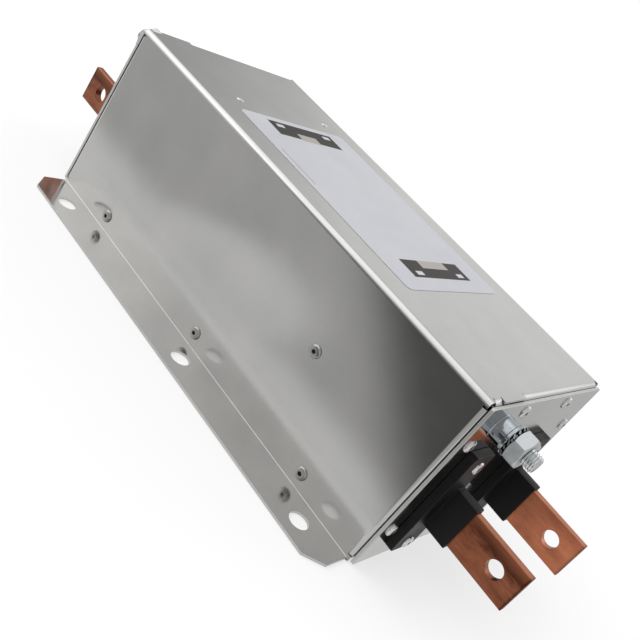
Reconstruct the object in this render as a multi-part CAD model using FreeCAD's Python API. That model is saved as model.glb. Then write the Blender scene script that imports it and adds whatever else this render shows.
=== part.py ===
import FreeCAD, Part
import math
import os

# Single-stage power line filter with through bars, for the direct current link of a drive.
# Origin: middle of the footprint, on the underside of the mounting flanges.
# +X runs along the bars towards the load end, +Z is up through the rated face.
# The side at -Y is side A, the side at +Y is side B. All sizes in millimetres.

V = FreeCAD.Vector

# Sheet metal case
case_length = 310.0
case_width = 144.0
case_height = 116.0
sheet = 1.5
bend_radius = 2.0
foot_bend_radius = 0.4
return_depth = 18.0
corner_relief = 4.0
relief_slot = 1.0
seam_gap = 0.1

# Mounting flanges
flange_length = 308.0
flange_reach = 27.5
flange_chamfer = 10.5
flange_hole_radius = 6.0
corner_hole_x = 127.0
middle_hole_x = 11.0
hole_line_offset = 14.0

# Base tray
tray_wall_height = 18.0
tray_wall_inset = 7.0
tray_end_gap = 0.3

# End plates
plate_thickness = 2.5
plate_side_inset = 1.0
plate_foot = 0.3
plate_top_inset = 0.7
plate_corner_radius = 1.5

# Copper bars
bar_length = 437.0
bar_width = 25.0
bar_thickness = 5.0
bar_spacing = 72.0
bar_height = 43.5
bar_hole_radius = 5.25
bar_hole_inset = 15.5
bar_edge = 0.4

# Moulded insulators round the bars
insulator_thickness = 6.0
insulator_reach = 18.0
insulator_lap = 5.0
insulator_bottom = 11.5
insulator_top = 83.0
insulator_corner_radius = 3.0
sleeve_edge = 0.6
sleeve_wall = 1.6
sleeve_length = 15.0
spigot_length = 10.0
bar_clearance = 0.2
spigot_clearance = 0.3

# Insulator rivets, of the same kind as the case's blind rivets
insulator_rivet_offset = 5.5
insulator_rivet_low = 16.5
insulator_rivet_high = 74.5
insulator_rivet_clearance = 0.2

# Flats of the small round pieces, which stand in for their curves
head_sides = 12
shank_sides = 6

# Blind rivets
rivet_radius = 2.4
rivet_head_radius = 4.0
rivet_head_height = 1.4
rivet_crown_share = 0.55
rivet_tail = 2.0
low_rivet_x = 106.0
low_rivet_z = 10.0
shelf_rivet_x = 68.8
shelf_rivet_z = 63.0
plate_rivet_y = 60.5
plate_rivet_low = 25.5
plate_rivet_top_y = 28.0
plate_rivet_top_drop = 8.0
plate_rivet_side_drop = 28.0

# Small rivets through the rated face
roof_rivet_radius = 1.6
roof_rivet_head_radius = 2.5
roof_rivet_head_height = 0.8
roof_rivet_x = -91.5
roof_rivet_y = (-40.0, 45.5)

# Earth studs
stud_y = -46.5
stud_drop = 15.5
stud_radius = 5.0
stud_reach = 26.5
stud_tip_chamfer = 1.0
thread_pitch_radius = 4.5
stud_head_flats = 15.0
stud_head_height = 4.5
boss_radius = 7.5
boss_length = 7.5
collar_radius = 9.0
collar_length = 2.0
stud_notch = (-60.0, -35.0)
notch_slit = 0.6
tooth_count = 16
tooth_width = 2.2
tooth_thickness = 0.8
tooth_twist = 30.0
tooth_root_radius = 7.2
tooth_overlap = 0.8
washer_radius = 9.0
washer_bore_clearance = 0.3
nut_flats = 17.0
nut_height = 8.0
nut_turn = 18.0
hexagon_chamfer_angle = 30.0

# Rating label
label_length = 158.0
label_width = 103.0
label_thickness = 0.2
label_corner_radius = 4.0
label_offset_y = 0.5

# Ring cores round both bars, with their supports
core_count = 2
core_length = 40.0
core_wall = 15.0
core_spacing = 46.0
core_centre_x = -15.0
window_half_width = 46.0
window_bottom = 27.0
window_top = 60.0
core_corner_radius = 12.0
window_corner_radius = 4.0
spacer_side_gap = 0.5
spacer_overhang = 4.0
cradle_wall = 4.0
cradle_side_height = 10.0

# Capacitors, their shelf and their straps
shelf_length = 68.0
shelf_wall_drop = 18.0
capacitor_count = 2
capacitor_length = 30.0
capacitor_side_gap = 2.75
capacitor_roof_gap = 3.75
capacitor_spacing = 32.0
capacitor_edge = 1.0
strap_width = 50.0
strap_thickness = 2.0
strap_foot = 7.0
strap_rise = 8.0
strap_clearance = 0.4
lug_width = 6.0
lug_height = 1.5
lug_lift = 4.0
resistor_radius = 4.0
resistor_length = 36.0
resistor_lead = 1.2
resistor_drop = 6.5
bracket_foot = 20.0
bracket_lift = 11.75
bracket_half_width = 56.0
earth_capacitor_length = 18.0
earth_capacitor_width = 26.0
earth_capacitor_height = 30.0
earth_capacitor_lift = 4.0
earth_pin = 2.0

# Derived places
half_length = case_length / 2
half_width = case_width / 2
outer_bend = bend_radius + sheet
inner_half_width = half_width - sheet
plate_face = half_length + plate_thickness
insulator_face = plate_face + insulator_thickness
sleeve_end = insulator_face + sleeve_length
bar_half = bar_spacing / 2
bar_bottom = bar_height - bar_width / 2
bar_top = bar_height + bar_width / 2
sleeve_half_y = bar_thickness / 2 + bar_clearance + sleeve_wall
sleeve_half_z = bar_width / 2 + bar_clearance + sleeve_wall
hole_line_y = half_width + hole_line_offset
seam_face = inner_half_width - seam_gap
shelf_height = shelf_rivet_z + shelf_wall_drop / 2
shelf_underside = shelf_height - sheet / 2
shelf_top = shelf_height + sheet / 2
roof_underside = case_height - sheet
plate_top = case_height - plate_top_inset
plate_rivet_top_z = case_height - plate_rivet_top_drop
plate_rivet_high = case_height - plate_rivet_side_drop
stud_z = case_height - stud_drop
strap_face = bar_half - bar_thickness / 2 - strap_thickness
capacitor_width = 2 * (strap_face - capacitor_side_gap)
capacitor_height = roof_underside - capacitor_roof_gap - shelf_top


# Solids from simple sections
def block(x0, x1, y0, y1, z0, z1):
    """A box between two corners."""
    return Part.makeBox(x1 - x0, y1 - y0, z1 - z0, V(x0, y0, z0))


def rod(radius, start, length, direction):
    """A round rod or hole cutter."""
    return Part.makeCylinder(radius, length, start, direction)


def in_yz(x):
    """Put section points (u, v) at (y, z) on the plane at x."""
    return lambda u, v: V(x, u, v)


def in_xy(z):
    """Put section points (u, v) at (x, y) on the plane at z."""
    return lambda u, v: V(u, v, z)


def in_xz(y):
    """Put section points (u, v) at (x, z) on the plane at y."""
    return lambda u, v: V(u, y, v)


def straight(first, last, place):
    """The line between two points, or nothing where they meet."""
    if math.dist(first, last) < 1e-6:
        return []
    return [Part.LineSegment(place(*first), place(*last)).toShape()]


def rounded_edges(points, radii, place):
    """Lines along the points, with a tangent arc of the given radius at each inner point."""
    edges = []
    start = points[0]
    for before, corner, after, radius in zip(points, points[1:], points[2:], radii):
        arrive = math.atan2(corner[1] - before[1], corner[0] - before[0])
        leave = math.atan2(after[1] - corner[1], after[0] - corner[0])
        turn = (leave - arrive + math.pi) % (2 * math.pi) - math.pi
        reach = radius * math.tan(abs(turn) / 2)
        first = (corner[0] - reach * math.cos(arrive), corner[1] - reach * math.sin(arrive))
        last = (corner[0] + reach * math.cos(leave), corner[1] + reach * math.sin(leave))
        inward = arrive + turn / 2 + math.copysign(math.pi / 2, turn)
        rise = radius / math.cos(turn / 2) - radius
        middle = (corner[0] + rise * math.cos(inward), corner[1] + rise * math.sin(inward))
        edges += straight(start, first, place)
        edges.append(Part.Arc(place(*first), place(*middle), place(*last)).toShape())
        start = last
    return edges + straight(start, points[-1], place)


def sheet_side(points, side, inner_radii):
    """One face of a sheet whose middle line runs through the points: its corners and bend radii."""
    corners = []
    radii = []
    directions = []
    for first, last in zip(points, points[1:]):
        run = math.hypot(last[0] - first[0], last[1] - first[1])
        directions.append(((last[0] - first[0]) / run, (last[1] - first[1]) / run))
    shift = side * sheet / 2
    heading = directions[0]
    corners.append((points[0][0] - shift * heading[1], points[0][1] + shift * heading[0]))
    for corner, into, out, inner in zip(points[1:], directions, directions[1:], inner_radii):
        across = 1 + into[0] * out[0] + into[1] * out[1]
        step_u = -shift * (into[1] + out[1]) / across
        step_v = shift * (into[0] + out[0]) / across
        corners.append((corner[0] + step_u, corner[1] + step_v))
        left_turn = math.copysign(1, into[0] * out[1] - into[1] * out[0])
        radii.append(inner + sheet / 2 - left_turn * shift)
    heading = directions[-1]
    corners.append((points[-1][0] - shift * heading[1], points[-1][1] + shift * heading[0]))
    return corners, radii


def folded_sheet(points, place, along, inner_radii=None):
    """A folded sheet: the middle line of its section, where the section lies, its run, and its inner bend radii."""
    inner_radii = inner_radii or [bend_radius] * (len(points) - 2)
    left, left_radii = sheet_side(points, 1, inner_radii)
    right, right_radii = sheet_side(points, -1, inner_radii)
    edges = rounded_edges(left, left_radii, place)
    edges += straight(left[-1], right[-1], place)
    edges += rounded_edges(right[::-1], right_radii[::-1], place)
    edges += straight(right[0], left[0], place)
    wire = Part.Wire(Part.__sortEdges__(edges))
    return Part.Face(wire).extrude(along)


def rounded_plate(u0, u1, v0, v1, radius, place, along):
    """A plate with rounded corners, pulled along one direction."""
    middle = (u0 + u1) / 2
    points = [(middle, v0), (u1, v0), (u1, v1), (u0, v1), (u0, v0), (middle, v0)]
    wire = Part.Wire(rounded_edges(points, [radius] * 4, place))
    return Part.Face(wire).extrude(along)


def prism(points, place, along):
    """A straight-sided solid from a polygon."""
    corners = [place(*point) for point in points]
    return Part.Face(Part.makePolygon(corners + corners[:1])).extrude(along)


def hexagon(flats, length):
    """A hexagonal bar along +Z whose corners are turned off at its far end."""
    corner = flats / math.sqrt(3)
    drop = (corner - flats / 2) * math.tan(math.radians(hexagon_chamfer_angle))
    turned = revolved([(0, 0), (corner, 0), (corner, length - drop), (flats / 2, length), (0, length)])
    return flat_sided(corner, 6, 0, length).common(turned)


def revolved(points):
    """A turned solid about +Z from points (radius, height)."""
    corners = [V(radius, 0, height) for radius, height in points]
    face = Part.Face(Part.makePolygon(corners + corners[:1]))
    return face.revolve(V(0, 0, 0), V(0, 0, 1), 360)


def ring_of_points(radius, sides, height):
    """Equally spaced corners round the Z axis, the first one repeated at the end."""
    corners = []
    for index in range(sides + 1):
        angle = 2 * math.pi * index / sides
        corners.append(V(radius * math.cos(angle), radius * math.sin(angle), height))
    return corners


def flat_sided(radius, sides, start, length):
    """A bar with equal flat sides about the Z axis."""
    return Part.Face(Part.makePolygon(ring_of_points(radius, sides, start))).extrude(V(0, 0, length))


def tapered(low_radius, high_radius, sides, height):
    """A flat-sided frustum on the plane at zero."""
    low = ring_of_points(low_radius, sides, 0)
    high = ring_of_points(high_radius, sides, height)
    faces = [Part.Face(Part.makePolygon(low)), Part.Face(Part.makePolygon(high))]
    for a, b, c, d in zip(low, low[1:], high[1:], high):
        faces.append(Part.Face(Part.makePolygon([a, b, c, d, a])))
    solid = Part.Solid(Part.Shell(faces))
    solid.fix(1e-6, 1e-6, 1e-6)
    return solid


def shank(radius, length):
    """The flat-sided shank of a rivet, or the cutter of its hole, down from zero."""
    return flat_sided(radius, shank_sides, -length, length)


def rivet(head, height, radius, length):
    """A rivet about +Z: a low tapered head on its seat at zero, and a shank below it."""
    return tapered(head, head * rivet_crown_share, head_sides, height).fuse(shank(radius, length))


def placed(shape, seat, outward):
    """A fastener made about +Z, moved to its seat and pointed outwards."""
    moved = shape.copy()
    moved.Placement = FreeCAD.Placement(seat, FreeCAD.Rotation(V(0, 0, 1), outward))
    return moved


def case_rivet(grip):
    """A set blind rivet of the size used on the case, through the thickness that it grips."""
    return rivet(rivet_head_radius, rivet_head_height, rivet_radius, grip + rivet_tail)


# Where the fasteners sit
def side_rivet_seats(side):
    """Rivets of one long side: three low ones into the base tray and one into the shelf."""
    seats = [V(x, side * half_width, low_rivet_z) for x in (-low_rivet_x, 0, low_rivet_x)]
    return seats + [V(shelf_rivet_x, side * half_width, shelf_rivet_z)]


def plate_rivet_seats(end):
    """Rivets of one end plate: two into the roof return and two into each side return."""
    x = end * plate_face
    seats = [V(x, y, plate_rivet_top_z) for y in (-plate_rivet_top_y, plate_rivet_top_y)]
    for y in (-plate_rivet_y, plate_rivet_y):
        seats += [V(x, y, z) for z in (plate_rivet_low, plate_rivet_high)]
    return seats


def insulator_rivet_seats(end):
    """Rivets of the two insulators at one end."""
    x = end * insulator_face
    seats = []
    for bar_y in (-bar_half, bar_half):
        y = bar_y - end * insulator_rivet_offset
        seats += [V(x, y, z) for z in (insulator_rivet_low, insulator_rivet_high)]
    return seats


def roof_rivet_seats():
    """Small rivets through the rated face."""
    return [V(roof_rivet_x, y, case_height) for y in roof_rivet_y]


def mounting_holes():
    """Centres of the six flange holes."""
    centres = []
    for y in (-hole_line_y, hole_line_y):
        centres += [(x, y) for x in (-corner_hole_x, middle_hole_x, corner_hole_x)]
    return centres


def rivet_hole(seat, outward, radius, depth):
    """Cutter for a rivet hole, from just outside its seat."""
    return placed(shank(radius, depth + 1), seat + outward, outward)


# Case
def flange_corner_cuts(side, end):
    """The corner that is cut off one end of one flange."""
    tip_x = end * flange_length / 2
    tip_y = side * (half_width + flange_reach)
    points = [(tip_x, tip_y), (tip_x - end * flange_chamfer, tip_y), (tip_x, tip_y - side * flange_chamfer)]
    return prism(points, in_xy(-1), V(0, 0, sheet + 2))


def roof_return(end):
    """The strip turned down from the roof, mitred at both corners; over the stud's head the roof stays flat."""
    face = half_length - sheet / 2
    start = half_length - outer_bend
    span = half_width - corner_relief - relief_slot
    points = [(start, case_height - sheet / 2), (face, case_height - sheet / 2)]
    points.append((face, case_height - return_depth))
    points = [(end * x, z) for x, z in points]
    strip = folded_sheet(points, in_xz(-span), V(0, 2 * span, 0))
    low = case_height - return_depth - 1
    knee = case_height - outer_bend
    narrow = span - (knee - low)
    mitre = [(-narrow, low), (narrow, low), (span, knee), (span, case_height + 1)]
    mitre += [(-span, case_height + 1), (-span, knee)]
    x0, x1 = sorted((end * (half_length + 1), end * (start - 1)))
    strip = strip.common(prism(mitre, in_yz(x0), V(x1 - x0, 0, 0)))
    strip = strip.cut(block(x0, x1, *stud_notch, low, case_height + 1))
    x0, x1 = sorted((end * start, end * (half_length - seam_gap)))
    first, last = stud_notch
    return strip.fuse(block(x0, x1, first + notch_slit, last - notch_slit, roof_underside, case_height))


def side_return(side, end):
    """The strip turned in from one side, mitred at the top and cut short above the flange."""
    face = half_length - sheet / 2
    start = half_length - outer_bend
    wall = half_width - sheet / 2
    points = [(start, wall), (face, wall), (face, half_width - return_depth)]
    points = [(end * x, side * y) for x, y in points]
    bottom = corner_relief
    top = case_height - corner_relief - relief_slot
    strip = folded_sheet(points, in_xy(bottom), V(0, 0, top - bottom))
    knee = half_width - outer_bend
    inner = half_width - return_depth - 1
    low = top - (knee - inner)
    mitre = [(inner, bottom), (half_width + 1, bottom), (half_width + 1, top), (knee, top), (inner, low)]
    mitre = [(side * y, z) for y, z in mitre]
    x0, x1 = sorted((end * (half_length + 1), end * (start - 1)))
    return strip.common(prism(mitre, in_yz(x0), V(x1 - x0, 0, 0)))


def make_cover():
    """Roof, both sides, both flanges and the end returns, folded from one sheet."""
    wall = half_width - sheet / 2
    tip = half_width + flange_reach
    half_flange = flange_length / 2
    section = [(-tip, sheet / 2), (-wall, sheet / 2), (-wall, case_height - sheet / 2)]
    section += [(wall, case_height - sheet / 2), (wall, sheet / 2), (tip, sheet / 2)]
    radii = [foot_bend_radius, bend_radius, bend_radius, foot_bend_radius]
    cover = folded_sheet(section, in_yz(-half_flange), V(flange_length, 0, 0), radii)
    start = half_length - outer_bend
    inner_edge = half_width - corner_relief
    roof_low = case_height - corner_relief
    for end in (-1, 1):
        x0, x1 = sorted((end * start, end * (half_flange + 1)))
        cover = cover.cut(block(x0, x1, -inner_edge, inner_edge, roof_low, case_height + 1))
        for side in (-1, 1):
            y0, y1 = sorted((side * (half_width - outer_bend - 1), side * (half_width + 1)))
            cover = cover.cut(block(x0, x1, y0, y1, outer_bend, roof_low))
            cover = cover.cut(flange_corner_cuts(side, end))
            cover = cover.fuse(side_return(side, end))
        cover = cover.fuse(roof_return(end))
    for x, y in mounting_holes():
        cover = cover.cut(rod(flange_hole_radius, V(x, y, -1), sheet + 2, V(0, 0, 1)))
    for side in (-1, 1):
        for seat in side_rivet_seats(side):
            cover = cover.cut(rivet_hole(seat, V(0, side, 0), rivet_radius, sheet + 1))
    for end in (-1, 1):
        for seat in plate_rivet_seats(end):
            cover = cover.cut(rivet_hole(seat, V(end, 0, 0), rivet_radius, plate_thickness + sheet + 1))
    for seat in roof_rivet_seats():
        cover = cover.cut(rivet_hole(seat, V(0, 0, 1), roof_rivet_radius, sheet + 1))
    return cover.removeSplitter()


def make_base_tray():
    """Shallow tray that closes the underside, its walls riveted inside the case."""
    wall = seam_face - sheet / 2
    run = half_length - tray_wall_inset
    section = [(-wall, tray_wall_height), (-wall, sheet / 2), (wall, sheet / 2), (wall, tray_wall_height)]
    tray = folded_sheet(section, in_yz(-run), V(2 * run, 0, 0))
    reach = half_length - tray_end_gap
    floor_half = wall - sheet / 2 - bend_radius
    tray = tray.fuse(block(-reach, reach, -floor_half, floor_half, 0, sheet))
    for side in (-1, 1):
        for seat in side_rivet_seats(side)[:3]:
            tray = tray.cut(rivet_hole(seat, V(0, side, 0), rivet_radius, 2 * sheet + 1))
    return tray.removeSplitter()


def make_end_plate(end):
    """Flat plate over the returns, with a window for each insulator's spigot."""
    half = half_width - plate_side_inset
    start = in_yz(end * half_length)
    plate = rounded_plate(-half, half, plate_foot, plate_top, plate_corner_radius, start,
                          V(end * plate_thickness, 0, 0))
    outward = V(end, 0, 0)
    window_y = sleeve_half_y + spigot_clearance
    window_z = sleeve_half_z + spigot_clearance
    x0, x1 = sorted((end * (half_length - 1), end * (plate_face + 1)))
    for bar_y in (-bar_half, bar_half):
        plate = plate.cut(block(x0, x1, bar_y - window_y, bar_y + window_y,
                                bar_height - window_z, bar_height + window_z))
    for seat in plate_rivet_seats(end):
        plate = plate.cut(rivet_hole(seat, outward, rivet_radius, plate_thickness + 1))
    for seat in insulator_rivet_seats(end):
        plate = plate.cut(rivet_hole(seat, outward, rivet_radius, insulator_thickness + plate_thickness + 1))
    return plate.cut(rod(stud_radius, V(x0, stud_y, stud_z), x1 - x0, V(1, 0, 0)))


# Bars and insulators
def make_busbar(bar_y):
    """One copper bar from end to end, standing on edge, with a bolt hole near each end."""
    half = bar_length / 2
    y0 = bar_y - bar_thickness / 2
    bar = block(-half, half, y0, y0 + bar_thickness, bar_bottom, bar_top)
    long_edges = [edge for edge in bar.Edges if edge.Length > bar_length - 1]
    bar = bar.makeChamfer(bar_edge, long_edges)
    for end in (-1, 1):
        x = end * (half - bar_hole_inset)
        bar = bar.cut(rod(bar_hole_radius, V(x, y0 - 1, bar_height), bar_thickness + 2, V(0, 1, 0)))
    return bar


def make_insulator(bar_y, end):
    """Moulding round one bar: riveted plate, sleeve over the bar, and spigot through the end plate."""
    y0, y1 = sorted((bar_y - end * insulator_reach, bar_y + end * insulator_lap))
    plate = rounded_plate(y0, y1, insulator_bottom, insulator_top, insulator_corner_radius,
                          in_yz(end * plate_face), V(end * insulator_thickness, 0, 0))
    x0, x1 = sorted((end * (plate_face - spigot_length), end * sleeve_end))
    sleeve = block(x0, x1, bar_y - sleeve_half_y, bar_y + sleeve_half_y,
                   bar_height - sleeve_half_z, bar_height + sleeve_half_z)
    long_edges = [edge for edge in sleeve.Edges if edge.Length > x1 - x0 - 0.01]
    sleeve = sleeve.makeChamfer(sleeve_edge, long_edges)
    body = plate.fuse(sleeve).removeSplitter()
    bore_y = bar_thickness / 2 + bar_clearance
    bore_z = bar_width / 2 + bar_clearance
    body = body.cut(block(x0 - 1, x1 + 1, bar_y - bore_y, bar_y + bore_y,
                          bar_height - bore_z, bar_height + bore_z))
    hole = rivet_radius + insulator_rivet_clearance
    for seat in insulator_rivet_seats(end):
        if y0 < seat.y < y1:
            body = body.cut(rivet_hole(seat, V(end, 0, 0), hole, insulator_thickness + 1))
    return body


# Earth stud set
def washer_height():
    """Height of the toothed washer over its twisted teeth."""
    twist = math.radians(tooth_twist)
    return tooth_width * math.sin(twist) + tooth_thickness * math.cos(twist)


boss_end = plate_face + boss_length + collar_length
nut_seat = boss_end + washer_height()


def on_stud(shape, end, x, turn=0):
    """A turned piece about +Z moved onto the stud's axis, its start at x from the middle."""
    moved = shape.copy()
    moved.rotate(V(0, 0, 0), V(0, 0, 1), turn)
    return placed(moved, V(end * x, stud_y, stud_z), V(end, 0, 0))


def make_stud(end):
    """Stud with a hexagonal head inside the case, drawn at its thread's pitch radius within the nut."""
    tip = plate_face + stud_reach - half_length
    nut_start = nut_seat - half_length
    nut_end = nut_start + nut_height
    points = [(0, 0), (stud_radius, 0), (stud_radius, nut_start), (thread_pitch_radius, nut_start)]
    points += [(thread_pitch_radius, nut_end), (stud_radius, nut_end), (stud_radius, tip - stud_tip_chamfer)]
    points += [(stud_radius - stud_tip_chamfer, tip), (0, tip)]
    head = flat_sided(stud_head_flats / math.sqrt(3), 6, -stud_head_height, stud_head_height)
    return on_stud(revolved(points).fuse(head), end, half_length)


def make_boss(end):
    """Spacer on the stud: a round barrel with a wider collar at its outer end."""
    full = boss_length + collar_length
    points = [(stud_radius, 0), (boss_radius, 0), (boss_radius, boss_length), (collar_radius, boss_length)]
    points += [(collar_radius, full), (stud_radius, full)]
    return on_stud(revolved(points), end, plate_face)


def make_lock_washer(end):
    """Toothed lock washer: a ring whose outer teeth are all twisted the same way."""
    height = washer_height()
    middle = height / 2
    low = middle - tooth_thickness / 2
    washer = flat_sided(tooth_root_radius, tooth_count, low, tooth_thickness)
    bore = (stud_radius + washer_bore_clearance) / math.cos(math.pi / tooth_count)
    washer = washer.cut(flat_sided(bore, tooth_count, low, tooth_thickness))
    tooth = block(tooth_root_radius - tooth_overlap, washer_radius, -tooth_width / 2, tooth_width / 2,
                  -tooth_thickness / 2, tooth_thickness / 2)
    tooth.rotate(V(0, 0, 0), V(1, 0, 0), tooth_twist)
    tooth.translate(V(0, 0, middle))
    for index in range(tooth_count):
        copy = tooth.copy()
        copy.rotate(V(0, 0, 0), V(0, 0, 1), (index + 0.5) * 360 / tooth_count)
        washer = washer.fuse(copy)
    return on_stud(washer.removeSplitter(), end, boss_end)


def make_nut(end):
    """Hexagon nut, chamfered at its outer face."""
    nut = hexagon(nut_flats, nut_height)
    nut = nut.cut(rod(thread_pitch_radius, V(0, 0, -1), nut_height + 2, V(0, 0, 1)))
    return on_stud(nut, end, nut_seat, nut_turn)


# Label
def make_label():
    """Thin rating label on the roof, with rounded corners."""
    half_x = label_length / 2
    half_y = label_width / 2
    return rounded_plate(-half_x, half_x, label_offset_y - half_y, label_offset_y + half_y,
                         label_corner_radius, in_xy(case_height), V(0, 0, label_thickness))


# Inside: cores and what carries them
def core_centres():
    """Middles of the ring cores along the bars."""
    first = core_centre_x - core_spacing * (core_count - 1) / 2
    return [first + core_spacing * index for index in range(core_count)]


def make_core(centre):
    """Rectangular ring core in its case, round both bars at once."""
    x = centre - core_length / 2
    run = V(core_length, 0, 0)
    outer = window_half_width + core_wall
    ring = rounded_plate(-outer, outer, window_bottom - core_wall, window_top + core_wall,
                         core_corner_radius, in_yz(x), run)
    window = rounded_plate(-window_half_width, window_half_width, window_bottom, window_top,
                           window_corner_radius, in_yz(x - 1), run + V(2, 0, 0))
    return ring.cut(window)


def make_cradle():
    """Moulded saddle that carries the cores on the tray."""
    cores = core_centres()
    x0 = cores[0] - core_length / 2 - cradle_wall
    x1 = cores[-1] + core_length / 2 + cradle_wall
    half = window_half_width + core_wall - core_corner_radius
    seat = window_bottom - core_wall
    cradle = block(x0, x1, -half, half, sheet, seat + cradle_side_height)
    for centre in cores:
        cradle = cradle.cut(block(centre - core_length / 2, centre + core_length / 2, -half - 1, half + 1,
                                  seat, seat + cradle_side_height + 1))
    return cradle


def make_spacer():
    """Insulating plate in the core windows, under the bars."""
    cores = core_centres()
    x0 = cores[0] - core_length / 2 - spacer_overhang
    x1 = cores[-1] + core_length / 2 + spacer_overhang
    half = window_half_width - spacer_side_gap - window_corner_radius
    return block(x0, x1, -half, half, window_bottom, bar_bottom)


# Inside: capacitors and their links
def make_shelf():
    """Folded shelf across the case, riveted to both sides, with a slot for each strap."""
    wall = seam_face - sheet / 2
    low = shelf_height - shelf_wall_drop
    section = [(-wall, low), (-wall, shelf_height), (wall, shelf_height), (wall, low)]
    x0 = shelf_rivet_x - shelf_length / 2
    shelf = folded_sheet(section, in_yz(x0), V(shelf_length, 0, 0))
    for side in (-1, 1):
        seat = side_rivet_seats(side)[3]
        shelf = shelf.cut(rivet_hole(seat, V(0, side, 0), rivet_radius, 2 * sheet + 1))
        near, far = strap_faces(side)
        y0, y1 = sorted((near - side * strap_clearance, far + side * strap_clearance))
        reach = strap_width / 2 + strap_clearance
        shelf = shelf.cut(block(shelf_rivet_x - reach, shelf_rivet_x + reach, y0, y1,
                                shelf_underside - 1, shelf_top + 1))
    return shelf


def strap_faces(side):
    """The strap's face away from the bar and its face on the bar."""
    return side * strap_face, side * (strap_face + strap_thickness)


def make_strap(side):
    """Copper strap brazed to the inner face of one bar, up to the capacitor lugs."""
    y0, y1 = sorted(strap_faces(side))
    half = strap_width / 2
    return block(shelf_rivet_x - half, shelf_rivet_x + half, y0, y1,
                 bar_bottom + strap_foot, shelf_top + strap_rise)


def make_capacitor(centre):
    """Film capacitor across the bars: a boxed winding with a lug to each strap."""
    half_x = capacitor_length / 2
    half_y = capacitor_width / 2
    box = rounded_plate(centre - half_x, centre + half_x, -half_y, half_y, capacitor_edge,
                        in_xy(shelf_top), V(0, 0, capacitor_height))
    lug_z = shelf_top + lug_lift
    for side in (-1, 1):
        near = strap_faces(side)[0]
        y0, y1 = sorted((side * (half_y - capacitor_edge - 1), near))
        box = box.fuse(block(centre - lug_width / 2, centre + lug_width / 2, y0, y1, lug_z, lug_z + lug_height))
    return box


def make_resistor():
    """Discharge resistor between the straps, under the shelf."""
    z = shelf_underside - resistor_drop
    body = rod(resistor_radius, V(shelf_rivet_x, -resistor_length / 2, z), resistor_length, V(0, 1, 0))
    half = resistor_lead / 2
    return body.fuse(block(shelf_rivet_x - half, shelf_rivet_x + half, -strap_face, strap_face, z - half, z + half))


def make_bracket():
    """Angle under the roof that carries and earths the two earth capacitors."""
    x0 = roof_rivet_x - bracket_foot / 2
    x1 = roof_rivet_x + bracket_foot / 2
    top = roof_underside - sheet / 2
    points = [(x0, top), (x1, top), (x1, bar_top + bracket_lift)]
    bracket = folded_sheet(points, in_xz(-bracket_half_width), V(0, 2 * bracket_half_width, 0))
    for seat in roof_rivet_seats():
        bracket = bracket.cut(rivet_hole(seat, V(0, 0, 1), roof_rivet_radius, 2 * sheet + 1))
    return bracket


def make_earth_capacitor(bar_y):
    """Box capacitor from one bar to the earthed angle, with a pin down to the bar."""
    face = roof_rivet_x + bracket_foot / 2 + sheet / 2
    z0 = bar_top + earth_capacitor_lift
    half = earth_capacitor_width / 2
    box = rounded_plate(face, face + earth_capacitor_length, bar_y - half, bar_y + half, capacitor_edge,
                        in_xy(z0), V(0, 0, earth_capacitor_height))
    pin_x = face + earth_capacitor_length / 2
    pin = block(pin_x - earth_pin / 2, pin_x + earth_pin / 2, bar_y - earth_pin / 2, bar_y + earth_pin / 2,
                bar_top, z0 + 1)
    return box.fuse(pin)


# Groups of identical pieces, each group one node of separate solids
def both_ends(make):
    """The same piece at the line end and at the load end."""
    return Part.Compound([make(end) for end in (-1, 1)])


def on_seats(piece, seats, axis):
    """One copy of a rivet on each seat of both sides or ends, all along one axis."""
    copies = []
    for side in (-1, 1):
        copies += [placed(piece, seat, axis * side) for seat in seats(side)]
    return Part.Compound(copies)


def make_roof_rivets():
    """The two small rivets through the rated face."""
    small = rivet(roof_rivet_head_radius, roof_rivet_head_height, roof_rivet_radius, 2 * sheet + rivet_tail)
    return Part.Compound([placed(small, seat, V(0, 0, 1)) for seat in roof_rivet_seats()])


# All nodes, each under the name of its file
nodes = {
    "cover": make_cover(),
    "base_tray": make_base_tray(),
    "side_rivets": on_seats(case_rivet(2 * sheet + seam_gap), side_rivet_seats, V(0, 1, 0)),
    "end_rivets": on_seats(case_rivet(plate_thickness + sheet), plate_rivet_seats, V(1, 0, 0)),
    "roof_rivets": make_roof_rivets(),
    "insulator_rivets": on_seats(case_rivet(insulator_thickness + plate_thickness), insulator_rivet_seats,
                                 V(1, 0, 0)),
    "earth_studs": both_ends(make_stud),
    "earth_bosses": both_ends(make_boss),
    "earth_washers": both_ends(make_lock_washer),
    "earth_nuts": both_ends(make_nut),
    "rating_label": make_label(),
    "busbar_a": make_busbar(-bar_half),
    "busbar_b": make_busbar(bar_half),
    "core_cradle": make_cradle(),
    "busbar_spacer": make_spacer(),
    "capacitor_shelf": make_shelf(),
    "discharge_resistor": make_resistor(),
    "capacitor_bracket": make_bracket(),
    "earth_capacitor_a": make_earth_capacitor(-bar_half),
    "earth_capacitor_b": make_earth_capacitor(bar_half),
    "strap_a": make_strap(-1),
    "strap_b": make_strap(1),
}

for name, end in (("line", -1), ("load", 1)):
    nodes["end_plate_" + name] = make_end_plate(end)
    nodes["insulator_a_" + name] = make_insulator(-bar_half, end)
    nodes["insulator_b_" + name] = make_insulator(bar_half, end)

for index, centre in enumerate(core_centres()):
    nodes["choke_core_%d" % (index + 1)] = make_core(centre)

first_capacitor = shelf_rivet_x - capacitor_spacing * (capacitor_count - 1) / 2
for index in range(capacitor_count):
    nodes["line_capacitor_%d" % (index + 1)] = make_capacitor(first_capacitor + capacitor_spacing * index)

os.makedirs("parts", exist_ok=True)
for name, shape in nodes.items():
    shape.exportStep("parts/%s.step" % name)
    print("%-24s solids %d  volume %.0f" % (name, len(shape.Solids), shape.Volume))
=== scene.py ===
import math

import bpy
from mathutils import Matrix, Vector


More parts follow.
